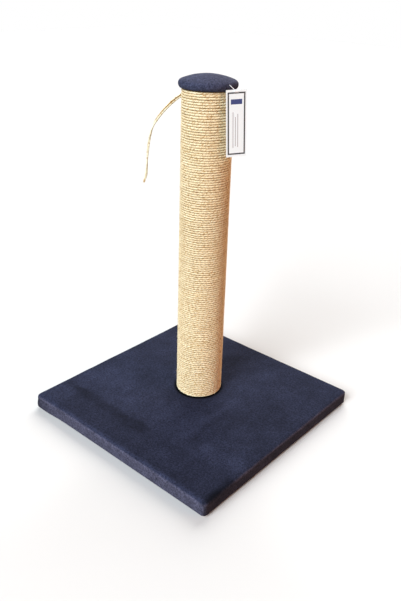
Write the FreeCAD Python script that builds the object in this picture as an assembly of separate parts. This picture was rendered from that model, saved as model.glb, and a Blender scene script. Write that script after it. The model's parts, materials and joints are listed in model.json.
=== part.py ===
import FreeCAD, Part
import math
import os

Vector = FreeCAD.Vector
UP = Vector(0, 0, 1)

# Cat scratcher: a sisal-wound post with a plush cap, bolted to a square board in a plush cover.
# Millimetres, +Z up, origin on the floor at the centre of the base.

# Base: a board, its plush cover folded under, and four pads
base_side = 350.0
board_corner_radius = 3.7
board_thickness = 18.0
board_edge_round = 1.5
plush_thickness = 2.3
cover_fold_width = 30.0
pad_diameter = 24.0
pad_thickness = 2.0
pad_edge_margin = 4.0

# Post: a paper tube closed by two discs, off the centre of the base
post_x = -9.3
post_y = 20.6
post_height = 467.3
tube_outer_diameter = 65.0
tube_wall = 3.5
plug_thickness = 18.0
fit_clearance = 0.1

# Screws of eight millimetres, with threaded inserts in the two discs
screw_diameter = 8.0
thread_clearance = 0.05
screw_hole_clearance = 0.5
screw_end_length = 5.6
bolt_head_diameter = 14.0
bolt_head_height = 4.4
bolt_head_round = 1.8
bolt_socket_width = 5.0
bolt_socket_depth = 2.6
bolt_head_recess = 1.0
washer_diameter = 24.0
washer_thickness = 2.0
flat_head_diameter = 15.0
flat_head_height = 4.0
insert_flange_diameter = 22.0
insert_flange_thickness = 1.5
insert_barrel_diameter = 9.8
insert_barrel_length = 9.5
insert_prong_count = 4
insert_prong_circle = 17.5
insert_prong_width = 3.0
insert_prong_tip = 0.6
insert_prong_thickness = 1.2
insert_prong_length = 6.0

# Nails and staples
nail_diameter = 1.6
nail_length = 14.0
nail_point = 2.0
nail_head_diameter = 4.0
nail_head_thickness = 0.6
nail_sink = 0.1
nails_per_plug = 4
staple_wire_width = 1.2
staple_wire_thickness = 0.6
base_staple_crown = 10.0
base_staple_leg = 8.0
staples_per_side = 7
staple_corner_margin = 48.0
cap_staple_crown = 8.0
cap_staple_leg = 6.5
cap_staple_count = 8
twine_staple_crown = 6.0
twine_staple_cover = 1.0
twine_staple_setback = 9.0

# Sisal twine: the top turns are made one by one, and the turns below them are a plain sleeve
twine_diameter = 2.9
turn_gap = 0.45
open_turns = 24
top_turn_gap = 0.3
tail_angle = 125.0

# Loose end of the twine: hand-chosen places, counted from the post's axis and the post's top
tail_first_run = 11.5
tail_points = [
    (-39.6, 11.2, -6.2),
    (-48.6, 1.1, -14.6),
    (-55.0, -7.7, -21.8),
    (-63.8, -17.9, -35.1),
    (-70.1, -25.3, -47.3),
    (-74.2, -30.8, -59.1),
    (-76.5, -34.1, -75.5),
    (-77.4, -36.2, -90.2),
    (-77.7, -37.7, -110.0),
    (-78.0, -38.7, -126.3),
    (-80.3, -41.4, -135.4),
]
tail_arc_share = 0.45

# Cap: a plywood disc and a foam pad in a plush cover, crowned on top and drawn in below
cap_disc_diameter = 69.0
cap_disc_thickness = 6.0
cap_side_radius = 5.5
cap_height = 17.7
cap_fold_width = 12.0

# Hang tag, on a plastic pin that leaves the cap's rim
pin_angle = -6.0
pin_rise = 33.0
pin_filament = 0.8
pin_gap = 0.3
pin_bar_length = 8.0
pin_bar_depth = 1.2
pin_bend_radius = 0.9
pin_lead = 1.6
pin_head_width = 6.0
pin_head_height = 1.6
pin_head_thickness = 0.8
pin_head_gap = 0.25
tag_width = 28.0
tag_height = 86.0
tag_thickness = 0.4
tag_hole_diameter = 1.8
tag_hole_inset = 2.4
tag_hole_rise = 2.0
tag_face_angle = -34.3
tag_stand_off = 1.3
tag_shift = 26.3
tag_tilt = 2.9

# Levels, radii and places that follow from the sizes above
board_bottom = pad_thickness + plush_thickness
board_top = board_bottom + board_thickness
base_top = board_top + plush_thickness
post_top = base_top + post_height
post_axis = Vector(post_x, post_y, 0)
tube_outer_radius = tube_outer_diameter / 2
tube_inner_radius = tube_outer_radius - tube_wall
winding_inner_radius = tube_outer_radius + fit_clearance
winding_outer_radius = winding_inner_radius + twine_diameter
twine_radius = twine_diameter / 2
twine_centre_radius = winding_inner_radius + twine_radius
turn_pitch = twine_diameter + turn_gap
turns_end = post_top - top_turn_gap - twine_radius
turns_start = turns_end - open_turns * turn_pitch
sleeve_top = turns_start - twine_radius - turn_gap
screw_radius = screw_diameter / 2
screw_hole_radius = screw_radius + screw_hole_clearance
plug_hole_radius = insert_barrel_diameter / 2 + fit_clearance
counterbore_radius = washer_diameter / 2 + screw_hole_clearance
bolt_seat = board_bottom + bolt_head_recess + bolt_head_height
washer_seat = bolt_seat + washer_thickness
cap_disc_radius = cap_disc_diameter / 2
cap_radius = cap_disc_radius + cap_side_radius
cap_side_level = post_top + cap_side_radius
cap_disc_bottom = post_top + plush_thickness
cap_disc_top = cap_disc_bottom + cap_disc_thickness


def at_post(x, y, z):
    """A point counted from the post's axis, at a height above the floor."""
    return post_axis + Vector(x, y, z)


def direction(degrees):
    """A level direction, turned from +X towards +Y."""
    angle = math.radians(degrees)
    return Vector(math.cos(angle), math.sin(angle), 0)


def round_the_post(radius, degrees, z):
    return post_axis + direction(degrees) * radius + UP * z


def disc(radius, bottom, top):
    """A cylinder on the post's axis."""
    return Part.makeCylinder(radius, top - bottom, at_post(0, 0, bottom))


def ring(outer_radius, inner_radius, bottom, top):
    return disc(outer_radius, bottom, top).cut(disc(inner_radius, bottom, top))


def placed(shape, origin, x_axis, z_axis):
    """A shape drawn at the origin, set at a place with its X and Z axes turned to those given."""
    rotation = FreeCAD.Rotation(x_axis, z_axis.cross(x_axis), z_axis, "ZXY")
    return shape.transformed(FreeCAD.Placement(origin, rotation).toMatrix(), True)


def joined(solids):
    return solids[0].fuse(solids[1:]).removeSplitter().Solids[0]


def save(name, *solids):
    shape = solids[0] if len(solids) == 1 else Part.makeCompound(solids)
    shape.exportStep(os.path.join("parts", name + ".step"))


# Base


def rounded_block(grow):
    """The board's outline with its corners and edges rounded, larger by grow on every side."""
    side = base_side - 2 * plush_thickness + 2 * grow
    height = board_thickness + 2 * grow
    block = Part.makeBox(side, side, height, Vector(-side / 2, -side / 2, board_bottom - grow))
    upright = [edge for edge in block.Edges if edge.BoundBox.ZLength > height / 2]
    block = block.makeFillet(board_corner_radius + grow, upright)
    level = [edge for edge in block.Edges if edge.BoundBox.ZLength < height / 2]
    edge_round = min(board_edge_round, board_corner_radius * 0.9)
    return block.makeFillet(edge_round + grow, level)


def base_board():
    board = rounded_block(0)
    board = board.cut(disc(screw_hole_radius, pad_thickness, base_top))
    return board.cut(disc(counterbore_radius, pad_thickness, washer_seat)).Solids[0]


def base_cover():
    window = base_side - 2 * cover_fold_width
    corner = Vector(-window / 2, -window / 2, 0)
    cover = rounded_block(plush_thickness).cut(rounded_block(0))
    cover = cover.cut(Part.makeBox(window, window, board_top, corner))
    return cover.cut(disc(screw_hole_radius, board_bottom, base_top + 1)).Solids[0]


def pads():
    """One pad in each corner, named as the photographed view sees them."""
    reach = base_side / 2 - pad_edge_margin - pad_diameter / 2
    corners = {"left": (-1, -1), "front": (1, -1), "right": (1, 1), "back": (-1, 1)}
    made = {}
    for name, (x_sign, y_sign) in corners.items():
        centre = Vector(x_sign * reach, y_sign * reach, 0)
        made["pad_" + name] = Part.makeCylinder(pad_diameter / 2, pad_thickness, centre)
    return made


def staple(crown, leg):
    """A wire staple: its crown along X with the outer face at zero, its legs along +Z."""
    half_width = staple_wire_width / 2
    back = Vector(-crown / 2, -half_width, 0)
    bar = Part.makeBox(crown, staple_wire_width, staple_wire_thickness, back)
    near_leg = Part.makeBox(staple_wire_thickness, staple_wire_width, leg, back)
    far_leg = near_leg.translated(Vector(crown - staple_wire_thickness, 0, 0))
    return joined([bar, near_leg, far_leg])


def base_staples():
    """A row along the middle of each folded edge, flush with the plush."""
    shape = staple(base_staple_crown, base_staple_leg)
    inset = base_side / 2 - cover_fold_width / 2
    row_length = base_side - 2 * staple_corner_margin
    step = row_length / (staples_per_side - 1)
    staples = []
    for side in range(4):
        along = direction(90 * side)
        outward = direction(90 * side - 90)
        for index in range(staples_per_side):
            place = outward * inset + along * (index * step - row_length / 2) + UP * pad_thickness
            staples.append(placed(shape, place, along, UP))
    return staples


# Screws and inserts


def base_washer():
    return ring(washer_diameter / 2, screw_hole_radius, bolt_seat, washer_seat)


def base_bolt():
    """A round-headed bolt with a six-sided socket, up through the board into the lower insert."""
    head_bottom = bolt_seat - bolt_head_height
    head = disc(bolt_head_diameter / 2, head_bottom, bolt_seat)
    rim = [edge for edge in head.Edges if abs(edge.BoundBox.ZMax - head_bottom) < fit_clearance]
    head = head.makeFillet(bolt_head_round, rim)
    corner_radius = bolt_socket_width / math.sqrt(3)
    corners = [round_the_post(corner_radius, 60 * index, head_bottom) for index in range(7)]
    socket = Part.Face(Part.makePolygon(corners)).extrude(UP * bolt_socket_depth)
    screw_end = base_top + plug_thickness + insert_flange_thickness + screw_end_length
    return joined([head.cut(socket), disc(screw_radius, bolt_seat, screw_end)])


def insert():
    """A pronged threaded insert: its flange on the level zero, its barrel and prongs below."""
    flange_radius = insert_flange_diameter / 2
    flange = Part.makeCylinder(flange_radius, insert_flange_thickness)
    barrel_bottom = Vector(0, 0, -insert_barrel_length)
    barrel_height = insert_barrel_length + insert_flange_thickness
    barrel = Part.makeCylinder(insert_barrel_diameter / 2, barrel_height, barrel_bottom)
    bore_radius = screw_radius + thread_clearance
    bore = Part.makeCylinder(bore_radius, barrel_height, barrel_bottom)
    half_width = insert_prong_width / 2
    half_tip = insert_prong_tip / 2
    outline = [
        Vector(0, -half_width, 0),
        Vector(0, half_width, 0),
        Vector(0, half_tip, -insert_prong_length),
        Vector(0, -half_tip, -insert_prong_length),
        Vector(0, -half_width, 0),
    ]
    prong = Part.Face(Part.makePolygon(outline)).extrude(Vector(insert_prong_thickness, 0, 0))
    prong_start = Vector(insert_prong_circle / 2 - insert_prong_thickness / 2, 0, 0)
    prong = prong.translated(prong_start)
    pieces = [flange, barrel]
    for index in range(insert_prong_count):
        pieces.append(placed(prong, Vector(), direction(360 / insert_prong_count * index), UP))
    return joined(pieces).cut(bore).Solids[0]


def bottom_t_nut():
    return placed(insert(), at_post(0, 0, base_top + plug_thickness), direction(0), UP)


def top_t_nut():
    return placed(insert(), at_post(0, 0, post_top - plug_thickness), direction(0), -UP)


# Post


def post_tube():
    return ring(tube_outer_radius, tube_inner_radius, base_top, post_top)


def plug(bottom):
    radius = tube_inner_radius - fit_clearance
    return ring(radius, plug_hole_radius, bottom, bottom + plug_thickness)


def nail():
    """A nail along +Z, with the top of its head on the level zero."""
    head = Part.makeCylinder(nail_head_diameter / 2, nail_head_thickness)
    shank_length = nail_length - nail_point
    shank = Part.makeCylinder(nail_diameter / 2, shank_length)
    point = Part.makeCone(nail_diameter / 2, 0, nail_point, Vector(0, 0, shank_length))
    return joined([head, shank, point])


def plug_nails():
    shape = nail()
    nails = []
    for level in (base_top + plug_thickness / 2, post_top - plug_thickness / 2):
        for index in range(nails_per_plug):
            angle = 360 / nails_per_plug * (index + 0.5)
            place = round_the_post(tube_outer_radius - nail_sink, angle, level)
            nails.append(placed(shape, place, UP, -direction(angle)))
    return nails


# Sisal


def turn_point(angle):
    """The twine's centre after an angle of winding, in degrees back from its upper end."""
    rise = turns_end + turn_pitch * angle / 360
    return round_the_post(twine_centre_radius, tail_angle + angle, rise)


def turn_tangent(angle):
    run = direction(tail_angle + angle + 90) * (2 * math.pi * twine_centre_radius)
    return (run + UP * turn_pitch).normalize()


def arc(start, corner, end):
    """The arc that leaves start and reaches end along the lines to their common corner."""
    half_chord = (end - start).Length / 2
    weight = half_chord / (corner - start).Length
    middle = (start + corner * (2 * weight) + end) * (1 / (2 + 2 * weight))
    return Part.Arc(start, middle, end)


def biarc(start, start_tangent, end, end_tangent):
    """Two arcs that meet smoothly, between two points with given tangents."""
    chord = end - start
    tangents = start_tangent + end_tangent
    square = tangents.dot(tangents) - 4
    slope = -2 * chord.dot(tangents)
    rest = chord.dot(chord)
    reach = (-slope - math.sqrt(slope * slope - 4 * square * rest)) / (2 * square)
    first_corner = start + start_tangent * reach
    last_corner = end - end_tangent * reach
    meeting = (first_corner + last_corner) * 0.5
    return [arc(start, first_corner, meeting), arc(meeting, last_corner, end)]


def tube_along(curves, radius):
    """A round tube along lines and arcs that run smoothly into each other."""
    path = Part.Wire([curve.toShape() for curve in curves])
    first = curves[0].toShape()
    start = first.valueAt(first.FirstParameter)
    heading = first.tangentAt(first.FirstParameter)
    section = Part.Wire(Part.makeCircle(radius, start, heading))
    tube = path.makePipeShell([section], True, False)
    return tube.Solids[0], path


def compare(name, tube, path, radius):
    expected = math.pi * radius * radius * path.Length
    share = tube.Volume / expected
    print(f"{name}: length {path.Length:.1f}, volume over section times length {share:.5f}")


def turns_lead_end():
    return turn_point(0) + turn_tangent(0) * twine_diameter


def sisal_turns():
    """One unbroken tube of open turns, with a straight twine's width at both ends."""
    first = -360 * open_turns
    lead_start = turn_point(first) - turn_tangent(first) * twine_diameter
    curves = [Part.LineSegment(lead_start, turn_point(first))]
    for index in range(2 * open_turns):
        start = first + 180 * index
        end = start + 180
        curves += biarc(turn_point(start), turn_tangent(start), turn_point(end), turn_tangent(end))
    curves.append(Part.LineSegment(turn_point(0), turns_lead_end()))
    tube, path = tube_along(curves, twine_radius)
    compare("sisal_turns", tube, path, twine_radius)
    print(f"sisal_turns: least gap to itself {least_turn_gap(path):.3f}")
    return tube


def least_turn_gap(path):
    """The least gap between neighbouring turns, on points five degrees apart."""
    points_per_turn = 72
    points = path.discretize(open_turns * points_per_turn)
    nearest = math.inf
    for index, point in enumerate(points):
        later = points[index + points_per_turn // 2:index + 3 * points_per_turn // 2]
        for other in later:
            nearest = min(nearest, (other - point).Length)
    return nearest - twine_diameter


def sisal_tail():
    """The twine's loose end, on straight runs joined by arcs as large as the runs allow."""
    start = turns_lead_end()
    route = [start, start + turn_tangent(0) * tail_first_run]
    route += [at_post(x, y, post_top + z) for x, y, z in tail_points]
    curves = []
    reached = start
    radii = []
    for before, corner, after in zip(route, route[1:], route[2:]):
        into = (corner - before).normalize()
        out = (after - corner).normalize()
        reach = tail_arc_share * min((corner - before).Length, (after - corner).Length)
        radii.append(reach / math.tan(into.getAngle(out) / 2))
        arc_start = corner - into * reach
        arc_end = corner + out * reach
        curves.append(Part.LineSegment(reached, arc_start))
        curves.append(arc(arc_start, corner, arc_end))
        reached = arc_end
    curves.append(Part.LineSegment(reached, route[-1]))
    tube, path = tube_along(curves, twine_radius)
    compare("sisal_tail", tube, path, twine_radius)
    print("sisal_tail: radii " + ", ".join(f"{radius:.0f}" for radius in radii))
    return tube


def sisal_sleeve():
    return ring(winding_outer_radius, winding_inner_radius, base_top, sleeve_top)


def sisal_staples():
    """A staple through the twine into the tube at each end of the winding."""
    shape = staple(twine_staple_crown, twine_diameter + tube_wall - twine_staple_cover)
    setback = math.degrees(twine_staple_setback / twine_centre_radius)
    outward_angle = tail_angle - setback
    top_level = turn_point(-setback).z
    staples = []
    for level in (base_top + twine_radius, top_level):
        place = round_the_post(winding_outer_radius, outward_angle, level)
        staples.append(placed(shape, place, direction(outward_angle + 90), -direction(outward_angle)))
    return staples


# Cap


def cap_body(inset):
    """The cap's crowned outline turned round the post's axis, drawn in by inset on every side."""
    rise = cap_height - cap_side_radius
    lift = cap_disc_radius ** 2 + rise ** 2 - cap_side_radius ** 2
    dome_radius = lift / (2 * (rise - cap_side_radius))
    dome_centre = post_top + cap_height - dome_radius
    side_start = math.atan2(cap_side_level - dome_centre, cap_disc_radius)
    side_middle = (side_start - math.pi / 2) / 2
    dome_middle = (side_start + math.pi / 2) / 2

    def on_dome(angle):
        radius = dome_radius - inset
        return at_post(radius * math.cos(angle), 0, dome_centre + radius * math.sin(angle))

    def on_side(angle):
        radius = cap_side_radius - inset
        across = cap_disc_radius + radius * math.cos(angle)
        return at_post(across, 0, cap_side_level + radius * math.sin(angle))

    top = at_post(0, 0, post_top + cap_height - inset)
    rim = at_post(cap_disc_radius, 0, post_top + inset)
    bottom = at_post(0, 0, post_top + inset)
    edges = [
        Part.Arc(top, on_dome(dome_middle), on_dome(side_start)),
        Part.Arc(on_dome(side_start), on_side(side_middle), rim),
        Part.LineSegment(rim, bottom),
        Part.LineSegment(bottom, top),
    ]
    outline = Part.Wire([edge.toShape() for edge in edges])
    return Part.Face(outline).revolve(post_axis, UP, 360)


def cap_cover():
    cover = cap_body(0).cut(cap_body(plush_thickness))
    return cover.cut(disc(cap_disc_radius - cap_fold_width, base_top, cap_disc_top)).Solids[0]


def cap_foam():
    return cap_body(plush_thickness).cut(disc(cap_disc_radius, base_top, cap_disc_top)).Solids[0]


def flat_head(clearance):
    """The cone of the cap bolt's head, flush with the top of the plywood disc."""
    bottom = at_post(0, 0, cap_disc_top - flat_head_height)
    head_radius = flat_head_diameter / 2 + clearance
    return Part.makeCone(screw_radius + clearance, head_radius, flat_head_height, bottom)


def cap_disc():
    wood = ring(cap_disc_radius, screw_hole_radius, cap_disc_bottom, cap_disc_top)
    return wood.cut(flat_head(fit_clearance)).Solids[0]


def cap_bolt():
    """A flat-headed bolt, down through the plywood into the upper insert."""
    screw_end = post_top - plug_thickness - insert_flange_thickness - screw_end_length
    return joined([flat_head(0), disc(screw_radius, screw_end, cap_disc_top - flat_head_height)])


def cap_staples():
    """A ring of staples through the folded edge into the plywood, flush with the plush."""
    shape = staple(cap_staple_crown, cap_staple_leg)
    radius = cap_disc_radius - cap_fold_width / 2
    staples = []
    for index in range(cap_staple_count):
        angle = 360 / cap_staple_count * index
        staples.append(placed(shape, round_the_post(radius, angle, post_top), direction(angle + 90), UP))
    return staples


# Hang tag


def pin_exit():
    """Where the pin leaves the plush on the cap's rim, and the way it points there."""
    rise = math.radians(pin_rise)
    outward = direction(pin_angle) * math.cos(rise) + UP * math.sin(rise)
    rim_centre = round_the_post(cap_disc_radius, pin_angle, cap_side_level)
    return rim_centre + outward * cap_side_radius, outward


def pin_pivot():
    place, outward = pin_exit()
    return place + outward * (pin_filament / 2 + pin_gap)


def tag_across():
    """The level direction along the tag's width."""
    return direction(tag_face_angle + 90)


def tag_hole():
    """The centre of the tag's hole on the card's back."""
    outward = direction(tag_face_angle) * (cap_radius + tag_stand_off)
    return at_post(0, 0, post_top + tag_hole_rise) + outward + tag_across() * tag_shift


def tag_pin_anchor():
    """The bar inside the cap and the stretch of filament through the plush."""
    place, outward = pin_exit()
    depth = plush_thickness + pin_bar_depth
    stub = Part.makeCylinder(pin_filament / 2, depth, place - outward * depth, outward)
    along = direction(pin_angle + 90)
    bar_start = place - outward * depth - along * (pin_bar_length / 2)
    bar = Part.makeCylinder(pin_filament / 2, pin_bar_length, bar_start, along)
    return joined([bar, stub])


def tag_pin():
    """The filament outside the plush, through the card's hole, and the head in front of the card."""
    facing = direction(tag_face_angle)
    pivot = pin_pivot()
    corner = tag_hole() - facing * pin_lead
    front = tag_hole() + facing * (tag_thickness + pin_head_gap)
    into = (corner - pivot).normalize()
    reach = pin_bend_radius * math.tan(into.getAngle(facing) / 2)
    bend_start = corner - into * reach
    bend_end = corner + facing * reach
    curves = [
        Part.LineSegment(pivot, bend_start),
        arc(bend_start, corner, bend_end),
        Part.LineSegment(bend_end, front),
    ]
    filament, path = tube_along(curves, pin_filament / 2)
    ball = Part.makeSphere(pin_filament / 2, pivot)
    half = Vector(-pin_head_width / 2, -pin_head_height / 2, 0)
    head = Part.makeBox(pin_head_width, pin_head_height, pin_head_thickness, half)
    head = placed(head, front, tag_across(), facing)
    return joined([filament, ball, head])


def tag_card():
    """The card with its hole, hanging a little askew."""
    bottom_left = Vector(-tag_width / 2, tag_hole_inset - tag_height, 0)
    card = Part.makeBox(tag_width, tag_height, tag_thickness, bottom_left)
    card = card.cut(Part.makeCylinder(tag_hole_diameter / 2, tag_thickness))
    tilt = math.radians(tag_tilt)
    width_axis = tag_across() * math.cos(tilt) + UP * math.sin(tilt)
    return placed(card, tag_hole(), width_axis, direction(tag_face_angle))


def main():
    os.makedirs("parts", exist_ok=True)
    save("base_board", base_board())
    save("base_cover", base_cover())
    save("base_staples", *base_staples())
    for name, pad in pads().items():
        save(name, pad)
    save("base_washer", base_washer())
    save("base_bolt", base_bolt())
    save("tube_bottom_plug", plug(base_top))
    save("bottom_t_nut", bottom_t_nut())
    save("post_tube", post_tube())
    save("plug_nails", *plug_nails())
    save("sisal_sleeve", sisal_sleeve())
    save("sisal_turns", sisal_turns())
    save("sisal_tail", sisal_tail())
    save("sisal_staples", *sisal_staples())
    save("tube_top_plug", plug(post_top - plug_thickness))
    save("top_t_nut", top_t_nut())
    save("cap_disc", cap_disc())
    save("cap_bolt", cap_bolt())
    save("cap_foam", cap_foam())
    save("cap_cover", cap_cover())
    save("cap_staples", *cap_staples())
    save("tag_pin_anchor", tag_pin_anchor())
    save("tag_pin", tag_pin())
    save("tag_card", tag_card())
    print("tag pivot", pin_pivot(), "along", -tag_across())
    print("tag hole", tag_hole(), "along", direction(tag_face_angle))
    print("twine end", turns_lead_end(), "first turn", turns_lead_end() + turn_tangent(0) * tail_first_run)


main()
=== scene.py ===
"""Cat scratcher: a plush base, a post wound in sisal twine with a loose end, a plush cap and a hang tag."""
import json
from math import atan2, ceil, cos, pi, radians, sin

import bpy
import numpy as np
from mathutils import Matrix, Vector


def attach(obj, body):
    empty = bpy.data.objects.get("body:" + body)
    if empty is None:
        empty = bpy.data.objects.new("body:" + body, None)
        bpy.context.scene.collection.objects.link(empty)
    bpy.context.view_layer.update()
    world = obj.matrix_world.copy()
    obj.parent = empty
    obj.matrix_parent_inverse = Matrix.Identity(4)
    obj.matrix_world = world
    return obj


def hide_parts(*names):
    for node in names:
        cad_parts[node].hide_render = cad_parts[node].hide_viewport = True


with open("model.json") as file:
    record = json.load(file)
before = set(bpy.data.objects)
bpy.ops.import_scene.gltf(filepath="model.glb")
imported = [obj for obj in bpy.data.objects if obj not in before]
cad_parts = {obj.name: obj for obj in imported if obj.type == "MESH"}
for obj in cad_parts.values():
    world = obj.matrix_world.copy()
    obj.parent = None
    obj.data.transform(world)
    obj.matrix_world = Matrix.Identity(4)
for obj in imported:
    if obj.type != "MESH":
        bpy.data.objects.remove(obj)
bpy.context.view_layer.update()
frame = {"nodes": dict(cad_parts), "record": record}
mm = 0.001

# A random change, such as a swell, a waver or a patch, is its size and the distance between its knots

# Camera, as the photograph was taken
camera_place = (0.57220, -0.65753, 0.62616)
camera_azimuth = 40.677
camera_elevation = 26.602
camera_roll = 1.859
camera_lens = 39.05
camera_sensor = 36.0

# Loose end of the twine: control points from the top turn down to the bare end
tail_route = [
    (-0.0312055, 0.0468290, 0.4901954),
    (-0.0406246, 0.0402336, 0.4903755),
    (-0.0489, 0.0318, 0.4857),
    (-0.0579, 0.0217, 0.4773),
    (-0.0643, 0.0129, 0.4701),
    (-0.0731, 0.0027, 0.4568),
    (-0.0794, -0.0047, 0.4446),
    (-0.0835, -0.0102, 0.4328),
    (-0.0858, -0.0135, 0.4164),
    (-0.0867, -0.0156, 0.4017),
    (-0.0870, -0.0171, 0.3819),
    (-0.0873, -0.0181, 0.3656),
    (-0.0896, -0.0208, 0.3565),
]
tail_resolution = 24
tail_open_span = (12 * mm, 26 * mm, 86 * mm, 108 * mm)
tail_closed_lay = 90 * mm
tail_open_lay = 260 * mm
tail_open_turn = 0.2
tail_strand_radius = 1.03 * mm
tail_open_radius = 1.34 * mm
tail_closed_offset = 0.74 * mm
tail_open_offset = 1.30 * mm
tail_strand_sides = 10
tail_swell = (0.09, 5 * mm)
tail_oval = (0.94, 1.08)
tail_taper = (9 * mm, 1 * mm)
tail_end_thinning = 0.4
tail_end_spread = 0.25 * mm
# Painted shade between the tail's strands, for closed and parted stretches, and a darker bare end
tail_closed_groove = (0.95, 0.5)
tail_open_groove = (0.45, 0.85)
tail_end_groove = 0.72
fray_count = 16
fray_spread = 0.8 * mm
fray_fan = 0.16
fray_bend = 0.25
fray_root = 3 * mm
fray_length = (4.2, 5.6)
fray_thickness = 0.34 * mm
fray_depth = 0.34
stray_count = 40
stray_end_gap = 6
stray_lift = 0.22
stray_root = 0.3 * mm
stray_fall = (-0.12, 0.02)
stray_bend = 0.06
stray_length = (3, 6)
stray_thickness = 0.16 * mm
hair_rings = 5
hair_sides = 3
hair_taper = 0.75
hair_across = (0.31, 0.17, 0.93)

# Twine and its winding
twine_diameter = 2.9 * mm
twine_lay = 12.4 * mm
strand_offset = 0.60 * mm
strand_short_radius = 0.90 * mm
strand_long_radius = 1.18 * mm
strand_sides = 8
strand_swell = (0.08, 8 * mm)
strand_reach = (0.1, 31 * mm)
twist_waver = (2.6, 50 * mm)
level_waver = (0.14 * mm, 45 * mm)
radius_waver = (0.12 * mm, 23 * mm)
post_axis = Vector((-9.3 * mm, 20.6 * mm, 0))
twine_centre_radius = 34.05 * mm
turn_pitch = 3.35 * mm
open_turns = 24
lower_turns = 115
all_turns = lower_turns + open_turns
lower_cuts = (0, 38, 76, lower_turns)
turns_end = 490.15 * mm
turns_start = turns_end - open_turns * turn_pitch
tail_angle = 125.0
end_turn_shift = 1.7 * mm
end_turn_spread = 22
lower_swell = 1.2 * mm
lower_swell_angle = 40.7
rings_per_turn = 150
top_fullness = 0.24
top_turns = (80, 130)
bake_row_margin = 0.06
bake_lid = 0.0004
fuzz_count = 3600
fuzz_end_gap = 0.4
fuzz_turn_step = 0.002
fuzz_lift = (-0.02, 0.38)
fuzz_lift_share = (0.1, 1.0)
fuzz_lean = 0.35
fuzz_root = 1.25 * mm
fuzz_root_rise = 0.9
fuzz_fall = (-0.18, 0.1)
fuzz_sway = 0.3
fuzz_length = (3, 8)
fuzz_thickness = (0.10, 0.19)

# Base cover
base_half = 176.5 * mm
base_corner_radius = 6.8 * mm
base_top = 24.6 * mm
base_bottom = 2.0 * mm
plush_thickness = 2.3 * mm
cover_edge_radius = 6.2 * mm
cover_edge_fullness = 0.57
cover_lower_radius = 2.6 * mm
cover_fold_width = 30.0 * mm
cover_cells = 150
corner_cells = 4
least_corner_radius = 0.4 * mm
hem_turns = ((0.6 * mm, 0.5 * mm), (0.8 * mm, plush_thickness - 0.05 * mm))
top_levels = (14 * mm, 22 * mm)
broad_waves = (0.14 * mm, 26 * mm)
small_waves = (0.09 * mm, 9 * mm)
edge_drop = 0.75 * mm
edge_drop_width = 6.5 * mm
edge_drop_mean = 0.55
edge_drop_change = (0.45, 21 * mm)
foot_radius = 36.5 * mm
foot_dent = 1.0 * mm
foot_dent_width = 2.4 * mm
corner_shapes = [
    ((-1, -1), 0.1 * mm, 1.0 * mm),
    ((1, -1), 0.3 * mm, 0.9 * mm),
    ((1, 1), 0.1 * mm, 0.4 * mm),
    ((-1, 1), 0.2 * mm, 0.4 * mm),
]
corner_reach = 15 * mm
corner_levels = (1.5 * mm, 5 * mm)
roll_place = 24 * mm
roll_length = 30 * mm
roll_width = 7 * mm
roll_drop = 1.8 * mm
roll_bulge = 2.4 * mm
roll_levels = (1.5 * mm, 4 * mm, 9 * mm, 17 * mm)
roll_depth = 3 * mm
side_levels = (3 * mm, 8 * mm, 17 * mm, 23 * mm)
side_bulge = (0.5 * mm, 24 * mm)
side_bulge_mean = 0.1 * mm
side_depth = 1.0 * mm
mitre_width = 2.2 * mm
mitre_reach = 36 * mm
mitre_height = 0.9 * mm
fold_depth = 0.2 * mm

# Lie of the base's pile with painted light and shade, lighter above nought: strokes are left, right, front,
# back, softness and amount
nap_strokes = [
    (-0.150, 0.200, -0.200, -0.114, 0.004, -0.15),
    (-0.165, 0.020, -0.132, -0.114, 0.005, -0.12),
    (-0.200, -0.135, -0.200, -0.128, 0.008, 0.22),
    (-0.160, 0.055, -0.112, -0.040, 0.016, 0.14),
    (-0.170, -0.120, -0.095, 0.020, 0.020, 0.12),
    (0.056, 0.070, -0.095, 0.035, 0.005, 0.16),
    (0.070, 0.112, -0.105, 0.015, 0.007, -0.14),
    (0.100, 0.118, -0.098, -0.082, 0.005, 0.30),
    (0.140, 0.170, -0.104, -0.074, 0.007, 0.26),
    (0.020, 0.140, -0.150, -0.060, 0.030, 0.10),
    (0.090, 0.200, -0.050, 0.170, 0.030, -0.08),
]
nap_wander_across = (5 * mm, 19 * mm)
nap_wander_along = (4 * mm, 16 * mm)
nap_broad_patches = (0.10, 30 * mm)
nap_small_patches = (0.05, 11 * mm)
nap_side_patches = (0.10, 12 * mm)
nap_side_levels = (18 * mm, 24 * mm)
nap_top_gain = 1.35
nap_side_loss = 1.15
nap_side_inset = 2.5 * mm
# Painted shade: the side facing +X is darker, and the two far sides a little darker
right_side_shade = -0.55
far_side_tone = -0.20
# Painted highlight along the top's front-left rim, and painted shade along its front-right rim near the
# front corner
left_rim_highlight = 0.75
left_rim_place = 3.2 * mm
left_rim_width = 3.4 * mm
left_rim_start = (15 * mm, 75 * mm)
right_rim_shade = -0.60
right_rim_place = 2.0 * mm
right_rim_width = 6.8 * mm
right_rim_reach = 70 * mm
# Painted shade in a ring round the post's foot
foot_shade_tone = -0.85
foot_shade_place = 0.8 * mm
foot_shade_width = 2.3 * mm
# Painted shade on the sides near the left corner
left_corner_shade = -0.70
left_corner_reach = 32 * mm
darkest_nap_and_shade = -0.85
# Painted shade round the post's foot, in the plush material
foot_shade_start = 37.2 * mm
foot_shade_end = 39.8 * mm
foot_shade_least = 0.05

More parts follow.
